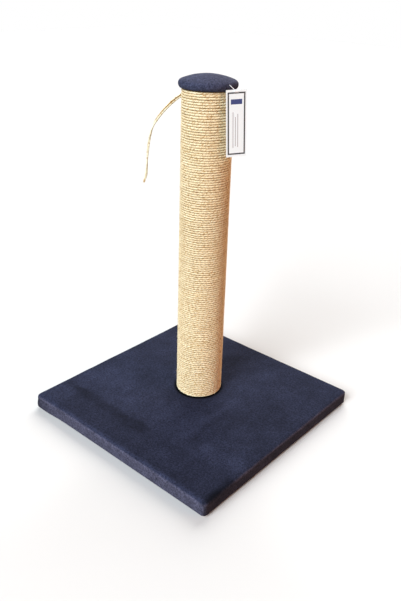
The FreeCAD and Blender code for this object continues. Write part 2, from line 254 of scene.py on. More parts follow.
# Cap
cap_disc_radius = 34.5 * mm
cap_disc_bottom = 494.2 * mm
cap_disc_top = 500.2 * mm
cap_side_radius = 5.5 * mm
cap_underside = 491.9 * mm
cap_apex = 509.6 * mm
cap_fold_radius = 22.5 * mm
cap_clearance = 0.05 * mm
cap_segments = 112
cap_held_rings = 5
cap_pressure = 4.0
cap_mass = 0.3
cap_quality = 6
cap_frames = 20
cap_most_move = 1.3 * mm
cap_low_levels = (cap_underside + 1 * mm, cap_underside + 7 * mm)
cap_hang = 0.9 * mm
cap_hang_radii = (35.6 * mm, 38.0 * mm)
cap_pleats = 31
cap_gather = 0.28 * mm
cap_gather_radii = (36 * mm, 38.5 * mm)
cap_gather_waver = (2.2, 0.5)
cap_lumps = (0.22 * mm, 13 * mm)

# Hang tag and its plain print: bars are place across, half length and middle
tag_hole = (39.6386 * mm, 19.0528 * mm, 493.9 * mm)
tag_face_angle = -34.3
tag_tilt = 2.9
tag_width = 28.0 * mm
tag_height = 86.0 * mm
tag_hole_inset = 2.4 * mm
tag_border_width = 1.9 * mm
tag_border_inset = (2.1 * mm, 3.0 * mm)
tag_bars = [
    (-4.6 * mm, 23.0 * mm, -8.0 * mm),
    (-1.4 * mm, 19.0 * mm, -10.0 * mm),
    (1.8 * mm, 21.5 * mm, -8.8 * mm),
]
tag_bar_half = 0.55 * mm
tag_band_half = (7.6 * mm, 3.2 * mm)
tag_band_middle = 28 * mm

# Floor and light: suns are name, azimuth, elevation, strength, angle across and colour
floor_half = 6.0
floor_bounce = (0.31, 0.25, 0.19, 1.0)
floor_seen = (0.735, 0.735, 0.715, 1.0)
suns = [
    ("key", -86.0, 34.0, 4.05, 34.0, (0.94, 1.005, 1.08)),
    ("back", 121.0, 34.0, 3.3, 54.0, (1.0, 1.0, 1.0)),
    ("warm_fill", 19.0, 12.0, 1.30, 60.0, (1.0, 0.31, 0.04)),
]
world_strength = 0.08

# Noises of plain surfaces: stretch, scale, detail and distortion
even = (1.0, 1.0, 1.0)
wood_grain = ((14.0, 160.0, 160.0), 1.0, 4.0, 0.6)
paper_pulp = (even, 240.0, 4.0)
paper_fibre = ((60.0, 60.0, 420.0), 1.0, 3.0)
metal_haze = (even, 160.0, 2.0)
metal_marks = ((900.0, 900.0, 180.0), 1.0, 3.0)
rubber_haze = (even, 90.0, 2.0)
rubber_pores = (even, 900.0, 3.0)
nylon_haze = (even, 420.0, 2.0)

# Plain surfaces: noises of tone and of finish, two colours, roughness, relief and other inputs
wood_tones = ((0.50, 0.34, 0.17), (0.68, 0.52, 0.31))
paper_tones = ((0.56, 0.38, 0.20), (0.66, 0.47, 0.27))
rubber_tones = ((0.009, 0.009, 0.010), (0.017, 0.017, 0.018))
nylon_tones = ((0.80, 0.81, 0.82), (0.87, 0.87, 0.87))
nylon_glow = {"Subsurface Weight": 0.3, "Subsurface Radius": (0.6 * mm, 0.6 * mm, 0.6 * mm)}
grained_surfaces = {
    "plywood": (wood_grain, wood_grain, wood_tones, (0.55, 0.8), (0.25, 0.2 * mm), {}),
    "tube_paper": (paper_pulp, paper_fibre, paper_tones, (0.75, 0.95), (0.2, 0.1 * mm), {}),
    "pad_rubber": (rubber_haze, rubber_pores, rubber_tones, (0.7, 0.95), (0.3, 0.15 * mm), {}),
    "pin_plastic": (nylon_haze, nylon_haze, nylon_tones, (0.28, 0.42), (0.1, 0.05 * mm), nylon_glow),
}


def add_object(name, data):
    made = bpy.data.objects.new(name, data)
    bpy.context.scene.collection.objects.link(made)
    return made


def direction(azimuth, elevation):
    """A direction counted from +X towards +Y, and up from the level."""
    turn = radians(azimuth)
    tip = radians(elevation)
    return cos(turn) * cos(tip), sin(turn) * cos(tip), sin(tip)


def make_camera():
    data = bpy.data.cameras.new("camera")
    data.lens = camera_lens
    data.sensor_width = camera_sensor
    camera = add_object("camera", data)
    turn = Matrix.Rotation(radians(camera_azimuth), 4, "Z")
    tip = Matrix.Rotation(radians(90 - camera_elevation), 4, "X")
    roll = Matrix.Rotation(radians(camera_roll), 4, "Z")
    camera.matrix_world = Matrix.Translation(camera_place) @ turn @ tip @ roll
    bpy.context.scene.camera = camera


def route_line(route, resolution):
    """Points along one smooth spline that has the route's points as its control points."""
    data = bpy.data.curves.new("route", "CURVE")
    data.dimensions = "3D"
    spline = data.splines.new("NURBS")
    spline.points.add(len(route) - 1)
    for point, place in zip(spline.points, route):
        point.co = (*place, 1.0)
    spline.order_u = 3
    spline.use_endpoint_u = True
    spline.resolution_u = resolution
    holder = bpy.data.objects.new("route", data)
    mesh = bpy.data.meshes.new_from_object(holder)
    line = np.array([vertex.co for vertex in mesh.vertices])
    bpy.data.objects.remove(holder)
    bpy.data.meshes.remove(mesh)
    bpy.data.curves.remove(data)
    return line


def unit(vectors):
    return vectors / np.linalg.norm(vectors, axis=-1, keepdims=True)


def smooth(low, high, value):
    share = np.clip((value - low) / (high - low), 0, 1)
    return share * share * (3 - 2 * share)


def between(levels, value):
    """Rises from nought to one over the first two levels and falls again over the last two."""
    rise_start, rise_end, fall_start, fall_end = levels
    return smooth(rise_start, rise_end, value) * (1 - smooth(fall_start, fall_end, value))


def stroke(start, end, softness, value):
    """One from start to end, with soft ends."""
    return between((start - softness, start + softness, end - softness, end + softness), value)


def bell(value, width):
    """One where the value is nought, and next to nothing two widths away."""
    return np.exp(-(value / width) ** 2)


def knots(place, step):
    """The knot before each place, counted from the first, and the smooth share of the way to the next."""
    place = place / step
    knot = np.floor(place).astype(int)
    return knot - knot.min(), smooth(0, 1, place - knot)


def drift(place, change, seed):
    """Smooth random values along a line, up to the change's size either way."""
    size, step = change
    knot, share = knots(place, step)
    values = np.random.RandomState(seed).uniform(-1, 1, knot.max() + 2)
    return size * (values[knot] * (1 - share) + values[knot + 1] * share)


def cloud(across, along, change, seed):
    """Smooth random values over a plane, up to the change's size either way."""
    size, step = change
    column, column_share = knots(across, step)
    row, row_share = knots(along, step)
    values = np.random.RandomState(seed).uniform(-1, 1, (column.max() + 2, row.max() + 2))
    near = values[column, row] * (1 - column_share) + values[column + 1, row] * column_share
    far = values[column, row + 1] * (1 - column_share) + values[column + 1, row + 1] * column_share
    return size * (near * (1 - row_share) + far * row_share)


def make_piece(name, points, quads, material, maps, values):
    """A smooth mesh of four-sided faces that rides on the scratcher, with its maps and point values."""
    mesh = bpy.data.meshes.new(name)
    mesh.vertices.add(len(points))
    mesh.vertices.foreach_set("co", np.asarray(points, np.float32).ravel())
    mesh.loops.add(quads.size)
    mesh.loops.foreach_set("vertex_index", quads.astype(np.int32).ravel())
    mesh.polygons.add(len(quads))
    mesh.polygons.foreach_set("loop_start", np.arange(0, quads.size, 4, dtype=np.int32))
    for label, places in maps.items():
        layer = mesh.uv_layers.new(name=label)
        layer.data.foreach_set("uv", np.asarray(places, np.float32).ravel())
    for label, numbers in values.items():
        layer = mesh.attributes.new(label, "FLOAT", "POINT")
        layer.data.foreach_set("value", np.asarray(numbers, np.float32))
    mesh.update(calc_edges=True)
    mesh.validate()
    mesh.shade_smooth()
    mesh.materials.append(material)
    piece = add_object(name, mesh)
    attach(piece, "scratcher")
    return piece


def tube(centres, first_axis, second_axis, first_radius, second_radius, sides, along):
    """Points, faces and strand map of a tube with oval rings; a wound strand's ends are closed."""
    count = len(centres)
    angles = np.arange(sides) * 2 * pi / sides
    across = np.cos(angles) * np.reshape(first_radius, (-1, 1))
    upward = np.sin(angles) * np.reshape(second_radius, (-1, 1))
    points = centres[:, None] + across[..., None] * first_axis[:, None]
    points = points + upward[..., None] * second_axis[:, None]
    ring, side = np.meshgrid(np.arange(count - 1), np.arange(sides), indexing="ij")
    after = (side + 1) % sides
    here = ring * sides
    there = here + sides
    quads = np.stack([here + side, here + after, there + after, there + side], -1).reshape(-1, 4)
    lengthwise = np.stack([along[ring], along[ring], along[ring + 1], along[ring + 1]], -1)
    around = np.stack([side, side + 1, side + 1, side], -1) / sides
    places = np.stack([lengthwise, around], -1).reshape(-1, 4, 2)
    if sides == strand_sides:
        lid = np.array([(0, 3, 2, 1), (0, 7, 4, 3), (4, 7, 6, 5)])
        last = (count - 1) * sides
        quads = np.concatenate([quads, lid, last + lid[:, ::-1]])
        lid_places = np.zeros((2 * len(lid), 4, 2))
        lid_places[: len(lid), :, 0] = along[0]
        lid_places[len(lid) :, :, 0] = along[-1]
        places = np.concatenate([places, lid_places])
    return points.reshape(-1, 3), quads, places


def together(parts):
    """Several tubes as one set of points, faces and strand map."""
    points, quads, places = [], [], []
    count = 0
    for part_points, part_quads, part_places in parts:
        points.append(part_points)
        quads.append(part_quads + count)
        places.append(part_places)
        count += len(part_points)
    return np.concatenate(points), np.concatenate(quads), np.concatenate(places)


def hair(start, heading, bend, length, thickness):
    """One thin fibre that leaves the twine and curls."""
    share = np.linspace(0, 1, hair_rings)[:, None]
    line = start + heading * length * share + bend * length * share ** 2
    forward = unit(np.gradient(line, axis=0))
    first = unit(np.cross(forward, hair_across))
    second = np.cross(forward, first)
    radius = thickness / 2 * (1 - hair_taper * share[:, 0])
    points, quads, places = tube(line, first, second, radius, radius, hair_sides, share[:, 0] * length)
    places[..., 1] = 0.0
    return points, quads, places


def make_tail(material):
    """Two strands that part where the twine bends over, with a frayed bare end."""
    line = route_line(tail_route, tail_resolution)
    step = np.linalg.norm(np.diff(line, axis=0), axis=1)
    along = np.concatenate([[0], np.cumsum(step)])
    forward = unit(np.gradient(line, axis=0))
    outward = np.array(direction(camera_azimuth - 90, camera_elevation))
    side = unit(np.cross(outward, forward))
    level = np.cross(forward, side)
    opened = between(tail_open_span, along)
    rate = 2 * pi * ((1 - opened) / tail_closed_lay + opened / tail_open_lay)
    phase = np.concatenate([[0], np.cumsum((rate[1:] + rate[:-1]) / 2 * step)])
    middle = (tail_open_span[1] + tail_open_span[2]) / 2
    phase = phase - np.interp(middle, along, phase) + tail_open_turn
    ending = smooth(along[-1] - tail_taper[0], along[-1] - tail_taper[1], along)
    offset = tail_closed_offset + (tail_open_offset - tail_closed_offset) * opened
    offset = offset + tail_end_spread * ending
    parts = []
    for strand in range(2):
        turn = phase + pi * strand
        first = np.cos(turn)[:, None] * side + np.sin(turn)[:, None] * level
        second = np.cross(forward, first)
        girth = 1 + drift(along, tail_swell, 41 + strand)
        centres = line + first * offset[:, None]
        radius = (tail_strand_radius + (tail_open_radius - tail_strand_radius) * opened) * girth
        radius = radius * (1 - tail_end_thinning * ending)
        across, upright = radius * tail_oval[0], radius * tail_oval[1]
        parts.append(tube(centres, first, second, across, upright, tail_strand_sides, along))
    # Painted shade on the strands' inner sides between them; the bare end is darker
    around = np.cos(np.arange(tail_strand_sides) * 2 * pi / tail_strand_sides)
    parted = opened[:, None]
    closed, open_wide = [low + rise * around for low, rise in (tail_closed_groove, tail_open_groove)]
    groove = np.clip((1 - parted) * closed + parted * open_wide, 0, 1)
    groove = np.tile((groove * (1 - tail_end_groove * ending)[:, None]).ravel(), 2)
    dice = np.random.RandomState(7)
    for _ in range(fray_count):
        aim = dice.uniform(-1, 1, 2)
        aside = side[-1] * aim[0] + level[-1] * aim[1]
        heading = unit(forward[-1] + fray_fan * aside)
        start = line[-1] + fray_spread * aside - heading * fray_root
        bend = dice.uniform(-fray_bend, fray_bend, 3)
        parts.append(hair(start, heading, bend, dice.uniform(*fray_length) * mm, fray_thickness))
    fray_points = fray_count * len(parts[-1][0])
    for _ in range(stray_count):
        index = dice.randint(stray_end_gap, len(line) - stray_end_gap)
        turn = dice.uniform(0, 2 * pi)
        away = side[index] * cos(turn) + level[index] * sin(turn)
        heading = unit(forward[index] * dice.choice([-1, 1]) + stray_lift * away)
        start = line[index] + away * (offset[index] + stray_root)
        bend = away * dice.uniform(*stray_fall) + dice.uniform(-stray_bend, stray_bend, 3)
        parts.append(hair(start, heading, bend, dice.uniform(*stray_length) * mm, stray_thickness))
    points, quads, places = together(parts)
    depth = np.ones(len(points))
    depth[: len(groove)] = groove
    depth[len(groove) : len(groove) + fray_points] = fray_depth
    maps = {"strand": places}
    tail = make_piece("sisal_tail_rope", points, quads, material, maps, {"depth": depth})
    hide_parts("sisal_tail")


def wound_line(turns):
    """The wound twine at these turn numbers: centre, forward, outward and upward directions, and length."""
    first_level = base_top + twine_diameter / 2
    lower_pitch = (turns_start - first_level) / lower_turns
    along = turns * 2 * pi * twine_centre_radius
    lower_level = first_level + lower_pitch * turns
    upper_level = turns_end - turn_pitch * (all_turns - turns)
    level = np.where(turns < lower_turns, lower_level, upper_level)
    sunk = end_turn_shift * (1 - smooth(0, end_turn_spread, turns))
    risen = end_turn_shift * smooth(all_turns - end_turn_spread, all_turns, turns)
    level = np.clip(level - sunk + risen + drift(along, level_waver, 3), first_level, turns_end)
    angle = radians(tail_angle) + 2 * pi * (turns - all_turns)
    facing = np.clip(np.cos(angle - radians(lower_swell_angle)), 0, 1) ** 2
    low = 1 - np.clip(turns / all_turns, 0, 1)
    radius = twine_centre_radius + drift(along, radius_waver, 4) + lower_swell * facing * low
    outward = np.stack([np.cos(angle), np.sin(angle), np.zeros_like(angle)], -1)
    centres = np.array(post_axis) + outward * radius[:, None]
    centres[:, 2] = level
    forward = unit(np.gradient(centres, axis=0))
    upward = unit(np.cross(outward, forward))
    return centres, forward, outward, upward, along


def make_winding_piece(name, first_turn, last_turn, material, node):
    """One stretch of the wound twine as two strands twisted round each other."""
    count = int(round((last_turn - first_turn) * rings_per_turn)) + 1
    turns = np.linspace(first_turn, last_turn, count)
    centres, forward, outward, upward, along = wound_line(turns)
    phase = 2 * pi * along / twine_lay + drift(along, twist_waver, 5)
    row_height = 1 / (2 * ceil(last_turn - first_turn))
    fullness = 1 + top_fullness * smooth(*top_turns, turns)
    parts = []
    depths = []
    bake_places = []
    for strand in range(2):
        turn = phase + pi * strand
        first = np.cos(turn)[:, None] * outward + np.sin(turn)[:, None] * upward
        second = np.cross(forward, first)
        girth = 1 + drift(along, strand_swell, 11 + strand)
        reach = strand_offset * (1 + drift(along, strand_reach, 21 + strand))
        short = strand_short_radius * girth
        wide = strand_long_radius * girth * fullness
        part = tube(centres + first * reach[:, None], first, second, short, wide, strand_sides, along)
        parts.append(part)
        # How far each point stands out from the twine's middle; the material paints shade where this is low
        raised = np.einsum("ijk,ik->ij", part[0].reshape(count, -1, 3) - centres[:, None], outward)
        depths.append(np.clip(raised / (twine_diameter / 2), 0, 1).ravel())
        bake_places.append(winding_rows(part[2], turns, strand, row_height))
    points, quads, places = together(parts)
    maps = {"strand": places, "OFBake": np.concatenate(bake_places)}
    piece = make_piece(name, points, quads, material, maps, {"depth": np.concatenate(depths)})
    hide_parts(node)


def winding_rows(places, turns, strand, row_height):
    """The bake's map of one strand: a row for each turn, so that no two faces share a place."""
    faces = (len(turns) - 1) * strand_sides
    ring = np.minimum(np.arange(len(places)) // strand_sides, len(turns) - 2)
    wound = turns[ring] - turns[0]
    whole = np.floor(wound + 1e-6)
    start = (wound - whole)[:, None]
    found = np.zeros_like(places)
    found[:, :2, 0] = start
    found[:, 2:, 0] = start + (turns[1] - turns[0])
    share = bake_row_margin + (1 - 2 * bake_row_margin) * places[..., 1]
    found[..., 1] = (2 * whole[:, None] + strand + share) * row_height
    found[faces:, :, 0] = bake_lid * np.array([0, 1, 1, 0])
    found[faces:, :, 1] = found[faces:, :1, 1] + bake_lid * np.array([0, 0, 1, 1])
    return found


def make_winding(material):
    """The whole winding in pieces, one above the other, and the loose fibres that stand off it."""
    lead = twine_diameter / (2 * pi * twine_centre_radius)
    for number, (first, last) in enumerate(zip(lower_cuts, lower_cuts[1:]), 1):
        make_winding_piece(f"sisal_winding_{number}", first, last, material, "sisal_sleeve")
    make_winding_piece("sisal_winding_top", lower_turns, all_turns + lead, material, "sisal_turns")
    dice = np.random.RandomState(19)
    turns = np.sort(dice.uniform(fuzz_end_gap, all_turns - fuzz_end_gap, fuzz_count))
    pairs = np.stack([turns, turns + fuzz_turn_step], -1).ravel()
    centres, _, outward, upward, _ = wound_line(pairs)
    parts = []
    for index in range(0, 2 * fuzz_count, 2):
        out = outward[index]
        up = upward[index]
        lift = dice.uniform(*fuzz_lift) * dice.uniform(*fuzz_lift_share)
        lean = dice.uniform(-fuzz_lean, fuzz_lean)
        path = unit(centres[index + 1] - centres[index]) * dice.choice([-1, 1])
        heading = unit(path + out * lift + up * lean)
        start = centres[index] + out * fuzz_root + up * dice.uniform(-fuzz_root_rise, fuzz_root_rise) * mm
        bend = out * dice.uniform(*fuzz_fall) + up * dice.uniform(-fuzz_sway, fuzz_sway)
        length = dice.uniform(*fuzz_length) * mm
        parts.append(hair(start, heading, bend, length, dice.uniform(*fuzz_thickness) * mm))
    points, quads, places = together(parts)
    depth = np.ones(len(points))
    make_piece("sisal_fibres", points, quads, material, {"strand": places}, {"depth": depth})


def rounded_square(column, row, half, radius):
    """Places on a square grid whose outer lines follow a square with rounded corners."""
    last = cover_cells

    def line(index):
        inner = np.clip(index, corner_cells, last - corner_cells)
        straight = (half - radius) * (2 * (inner - corner_cells) / (last - 2 * corner_cells) - 1)
        return straight, (index - inner) / corner_cells

    across, across_corner = line(column)
    along, along_corner = line(row)
    across = across + radius * across_corner * np.sqrt(1 - along_corner ** 2 / 2)
    along = along + radius * along_corner * np.sqrt(1 - across_corner ** 2 / 2)
    return across, along


def cover_profile():
    """The cover's way from the top over the side to the folded hem: outward step, level and distance."""
    steps = []
    for angle in np.linspace(0, pi / 2, 8)[1:]:
        out = cover_edge_radius * sin(angle) ** cover_edge_fullness
        down = cover_edge_radius * (1 - cos(angle) ** cover_edge_fullness)
        steps.append((out, base_top - down))
    side_end = base_bottom + cover_lower_radius
    for level in np.linspace(base_top - cover_edge_radius, side_end, 11)[1:]:
        steps.append((cover_edge_radius, level))
    for angle in np.linspace(0, pi / 2, 6)[1:]:
        out = cover_edge_radius - cover_lower_radius * (1 - cos(angle))
        steps.append((out, base_bottom + cover_lower_radius * (1 - sin(angle))))
    for inward in np.linspace(cover_lower_radius, cover_fold_width, 13)[1:]:
        steps.append((cover_edge_radius - inward, base_bottom))
    for inward, up in hem_turns:
        steps.append((cover_edge_radius - cover_fold_width - inward, base_bottom + up))
    steps = np.array(steps)
    moves = np.diff(np.concatenate([[(0, base_top)], steps]), axis=0)
    return steps, np.cumsum(np.linalg.norm(moves, axis=1))


def settle_cover(points):
    """Waves, soft edges and full corners of the stretched plush, and the dent round the post's foot."""
    across, along, level = points.T.copy()
    on_top = smooth(*top_levels, level)
    waves = cloud(across, along, broad_waves, 61) + cloud(across, along, small_waves, 62)
    to_edge = np.minimum(base_half - np.abs(across), base_half - np.abs(along))
    round_edge = np.arctan2(along, across) * base_half
    soft = edge_drop_mean + drift(round_edge + 1.0, edge_drop_change, 63)
    from_post = np.hypot(across - post_axis.x, along - post_axis.y)
    dent = foot_dent * bell(from_post - foot_radius, foot_dent_width)
    points[:, 2] += (waves - soft * edge_drop * bell(to_edge, edge_drop_width) - dent) * on_top
    for (sign_across, sign_along), drop, bulge in corner_shapes:
        away = np.hypot(across - sign_across * base_half, along - sign_along * base_half)
        near = bell(away, corner_reach)
        points[:, 2] -= drop * near * on_top
        outer = smooth(*corner_levels, level) * near * bulge
        points[:, 0] += sign_across * outer
        points[:, 1] += sign_along * outer
    front_gap = along + base_half
    rolled = bell(across + base_half - roll_place, roll_length)
    points[:, 2] -= roll_drop * rolled * bell(front_gap, roll_width) * on_top
    points[:, 1] -= roll_bulge * rolled * between(roll_levels, level) * (front_gap < roll_depth)
    bulge = side_bulge_mean + drift(round_edge + 2.0, side_bulge, 64)
    outside = (to_edge < side_depth) * between(side_levels, level) * bulge
    points[:, 0] += np.sign(across) * (np.abs(across) > np.abs(along)) * outside
    points[:, 1] += np.sign(along) * (np.abs(along) >= np.abs(across)) * outside
    below = level < base_bottom + fold_depth
    at_corner = np.minimum(np.abs(across), np.abs(along)) > base_half - mitre_reach
    fold = bell(np.abs(across) - np.abs(along), mitre_width) * at_corner
    points[:, 2] += below * fold * mitre_height
    return points


def pile_lie_and_painted_light(points):
    """How much lighter or darker the pile lies, from broad strokes along the base's sides, with painted
    light and shade added on the sides, the top's front rims, the left corner and round the post's foot.
    """
    across, along, level = points.T
    column = across + cloud(across, along, nap_wander_across, 81)
    row = along + cloud(across, along, nap_wander_along, 82)
    nap = cloud(column, row, nap_broad_patches, 83) + cloud(column, row, nap_small_patches, 84)
    for left, right, front, back, softness, amount in nap_strokes:
        nap = nap + amount * stroke(left, right, softness, column) * stroke(front, back, softness, row)
    on_side = 1 - smooth(*nap_side_levels, level)
    nap = nap * (nap_top_gain - nap_side_loss * on_side)
    nap = nap + on_side * cloud(across + along, level, nap_side_patches, 85)
    # Painted shade on the side facing +X, and the two far sides a little darker
    outer = base_half - nap_side_inset
    nap = nap + right_side_shade * on_side * (across > outer)
    for inside in (across < -outer, along > outer):
        nap = nap + far_side_tone * on_side * inside
    # Painted highlight along the top's front-left rim, and painted shade along its front-right rim near the
    # front corner
    left_gap = along + base_half
    left_rim = bell(left_gap - left_rim_place, left_rim_width)
    left_rim = left_rim * smooth(*left_rim_start, across + base_half)
    right_gap = base_half - across
    right_rim = bell(right_gap - right_rim_place, right_rim_width) * bell(left_gap, right_rim_reach)
    nap = nap + (1 - on_side) * (left_rim_highlight * left_rim + right_rim_shade * right_rim)
    # Painted shade in a ring round the post's foot
    foot = np.hypot(across - post_axis.x, along - post_axis.y) - foot_radius
    nap = nap + foot_shade_tone * bell(foot - foot_shade_place, foot_shade_width)
    # Painted shade on the sides near the left corner; the sum is kept above its darkest value
    corner = np.hypot(across + base_half, left_gap)
    return np.maximum(nap + left_corner_shade * on_side * bell(corner, left_corner_reach), darkest_nap_and_shade)


def make_base_cover(material):
    """The plush, stretched over the board and folded under it on all four sides."""
    last = cover_cells
    column, row = np.meshgrid(np.arange(last + 1), np.arange(last + 1), indexing="ij")
    half = base_half - cover_edge_radius
    radius = base_corner_radius - cover_edge_radius
    top = np.stack(rounded_square(column, row, half, radius), -1).reshape(-1, 2)
    points = [np.insert(top, 2, base_top, axis=1)]
    number = np.arange((last + 1) ** 2).reshape(last + 1, last + 1)
    corners = [number[:-1, :-1], number[1:, :-1], number[1:, 1:], number[:-1, 1:]]
    quads = [np.stack(corners, -1).reshape(-1, 4)]
    rising = np.arange(last)
    falling = last - rising
    low = np.zeros(last, int)
    high = low + last
    edge_column = np.concatenate([rising, high, falling, low])
    edge_row = np.concatenate([low, rising, high, falling])
    loop = number[edge_column, edge_row]
    steps, distances = cover_profile()

    def outline(outward, corner):
        return np.stack(rounded_square(edge_column, edge_row, half + outward, corner), -1)

    flat = [top]
    edge = outline(0, radius)
    facing = (outline(mm, radius + mm) - edge) / mm
    count = len(top)
    for (outward, level), far in zip(steps, distances):
        around = outline(outward, max(radius + outward, least_corner_radius))
        points.append(np.insert(around, 2, level, axis=1))
        flat.append(edge + facing * far)
        ring = count + np.arange(len(loop))
        quads.append(np.stack([loop, ring, np.roll(ring, -1), np.roll(loop, -1)], -1))
        loop = ring
        count += len(ring)
    points = np.concatenate(points)
    nap = pile_lie_and_painted_light(points)
    points = settle_cover(points)
    quads = np.concatenate(quads)
    flat = np.concatenate(flat)
    reach = np.abs(flat).max() * 2.02
    places = flat[quads] / reach + 0.5
    piece = make_piece("base_plush", points, quads, material, {"OFBake": places}, {"nap": nap})
    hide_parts("base_cover")


def cap_profile():
    """Radius and level of the cap's outside from its crown to the hem, and of the inside round the disc."""
    side_level = cap_underside + cap_side_radius
    rise = cap_apex - side_level
    dome = (cap_disc_radius ** 2 + rise ** 2 - cap_side_radius ** 2) / (2 * (rise - cap_side_radius))
    dome_centre = cap_apex - dome
    join = atan2(cap_disc_radius, side_level - dome_centre)
    outside = []
    for angle in np.linspace(0, join, 20)[1:]:
        outside.append((dome * sin(angle), dome_centre + dome * cos(angle)))
    for angle in np.linspace(pi / 2 - join, -pi / 2, 16)[1:]:
        level = side_level + cap_side_radius * sin(angle)
        outside.append((cap_disc_radius + cap_side_radius * cos(angle), max(level, cap_underside)))
    for radius in np.linspace(cap_disc_radius, cap_fold_radius, 7)[1:]:
        outside.append((radius, cap_underside))
    inner_radius = cap_disc_radius + cap_clearance
    inner_bottom = cap_disc_bottom - cap_clearance
    inner_top = cap_disc_top + cap_clearance
    inside = [(cap_fold_radius, inner_bottom), (inner_radius, inner_bottom)]
    inside += [(inner_radius * share, inner_top) for share in (1.0, 0.7, 0.35)]
    return outside, inside


def make_cap(material):
    """The crowned plush cap, swelled by a short cloth simulation and drawn in below."""
    outside, inside = cap_profile()
    profile = np.array(outside + inside)
    angles = np.arange(cap_segments) * 2 * pi / cap_segments
    across = profile[:, :1] * np.cos(angles) + post_axis.x
    along = profile[:, :1] * np.sin(angles) + post_axis.y
    level = np.repeat(profile[:, 1:], cap_segments, 1)
    rings = np.stack([across, along, level], -1).reshape(-1, 3)
    crown = [(post_axis.x, post_axis.y, cap_apex)]
    floor = [(post_axis.x, post_axis.y, profile[-1, 1])]
    points = np.concatenate([crown, rings, floor])
    here = np.arange(cap_segments)
    after = np.roll(here, -1)
    faces = [(0, 1 + a, 1 + b) for a, b in zip(here, after)]
    for ring in range(len(profile) - 1):
        upper = 1 + ring * cap_segments
        lower = upper + cap_segments
        faces += [(upper + a, lower + a, lower + b, upper + b) for a, b in zip(here, after)]
    last = 1 + (len(profile) - 1) * cap_segments
    faces += [(last + a, len(points) - 1, last + b) for a, b in zip(here, after)]
    mesh = bpy.data.meshes.new("cap_plush")
    mesh.from_pydata(points.tolist(), [], faces)
    mesh.update()
    cap = add_object("cap_plush", mesh)
    first_held = 1 + (len(outside) - cap_held_rings) * cap_segments
    swell(cap, list(range(first_held, len(points))))
    found = np.array([vertex.co for vertex in mesh.vertices])
    found = draw_in(found, len(outside))
    mesh.vertices.foreach_set("co", found.astype(np.float32).ravel())
    mesh.update()
    mesh.shade_smooth()
    smoother = cap.modifiers.new("smoother", "SUBSURF")
    smoother.levels = 1
    smoother.render_levels = 1
    mesh.materials.append(material)
    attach(cap, "scratcher")
    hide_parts("cap_cover", "cap_foam")


def swell(cap, held):
    """Runs the cloth under a little pressure with its hem held, and keeps the result in the mesh."""
    start = np.array([vertex.co for vertex in cap.data.vertices])
    group = cap.vertex_groups.new(name="held")
    group.add(held, 1.0, "REPLACE")
    cloth = cap.modifiers.new("cloth", "CLOTH")
    cloth.settings.quality = cap_quality
    cloth.settings.mass = cap_mass
    cloth.settings.vertex_group_mass = "held"
    cloth.settings.use_pressure = True
    cloth.settings.uniform_pressure_force = cap_pressure
    cloth.settings.effector_weights.gravity = 0
    scene = bpy.context.scene
    for number in range(1, cap_frames + 1):
        scene.frame_set(number)
    result = cap.evaluated_get(bpy.context.evaluated_depsgraph_get())
    moved = np.array([vertex.co for vertex in result.data.vertices]) - start
    scene.frame_set(1)
    cap.modifiers.remove(cloth)
    cap.vertex_groups.remove(group)
    length = np.linalg.norm(moved, axis=1, keepdims=True)
    moved *= np.minimum(1, cap_most_move / np.maximum(length, 1e-9))
    cap.data.vertices.foreach_set("co", (start + moved).astype(np.float32).ravel())
    cap.data.update()


def draw_in(points, outside_rings):
    """Shallow gathers where the plush is drawn under the cap's rim, and a few lumps above."""
    across = points[:, 0] - post_axis.x
    along = points[:, 1] - post_axis.y
    radius = np.hypot(across, along)
    angle = np.arctan2(along, across)
    number = np.arange(len(points))
    outer = (number >= 1) & (number < 1 + outside_rings * cap_segments)
    low = 1 - smooth(*cap_low_levels, points[:, 2])
    points[:, 2] -= cap_hang * low * smooth(*cap_hang_radii, radius) * outer
    pleats = np.sin(angle * cap_pleats + drift(angle, cap_gather_waver, 71))
    gather = pleats * cap_gather * low * smooth(*cap_gather_radii, radius) * outer
    points[:, 0] += np.cos(angle) * gather
    points[:, 1] += np.sin(angle) * gather
    points[:, 2] += cloud(across, along, cap_lumps, 72) * outer * (1 - low)
    return points


def new_material(name):
    material = bpy.data.materials.new(name)
    material.use_nodes = True
    return material, material.node_tree, material.node_tree.nodes["Principled BSDF"]


def fill(node, inputs):
    """Links or sets a node's inputs by name or number, and gives its outputs."""
    for name, value in inputs.items():
        if isinstance(value, bpy.types.NodeSocket):
            node.id_data.links.new(value, node.inputs[name])
        else:
            node.inputs[name].default_value = value
    return node.outputs


def add_node(kind, inputs, **settings):
    """The outputs of a new node, in the tree of the outputs that are linked to it."""
    tree = next(value.id_data for value in inputs.values() if isinstance(value, bpy.types.NodeSocket))
    node = tree.nodes.new(kind)
    for name, value in settings.items():
        setattr(node, name, value)
    return fill(node, inputs)


def coordinates(tree, kind="Object"):
    return tree.nodes.new("ShaderNodeTexCoord").outputs[kind]


def separate(place):
    return add_node("ShaderNodeSeparateXYZ", {"Vector": place})


def point_value(tree, label):
    """A value kept at the mesh's points; it is nought where the mesh has none."""
    found = tree.nodes.new("ShaderNodeAttribute")
    found.attribute_name = label
    return found.outputs["Fac"]


def stretched(place, scale):
    return add_node("ShaderNodeMapping", {"Vector": place, "Scale": scale})["Vector"]


def noise(place, scale, detail=2.0, distortion=0.0):
    inputs = {"Vector": place, "Scale": scale, "Detail": detail, "Distortion": distortion}
    return add_node("ShaderNodeTexNoise", inputs)["Fac"]


def strand_noise(tree, along, around, detail, distortion=0.0):
    """A noise along and around each strand, stretched to a fibre's proportions."""
    found = tree.nodes.new("ShaderNodeUVMap")
    found.uv_map = "strand"
    return noise(stretched(found.outputs["UV"], (along, around, 1.0)), 1.0, detail, distortion)


def cells(place, scale):
    return add_node("ShaderNodeTexVoronoi", {"Vector": place, "Scale": scale})


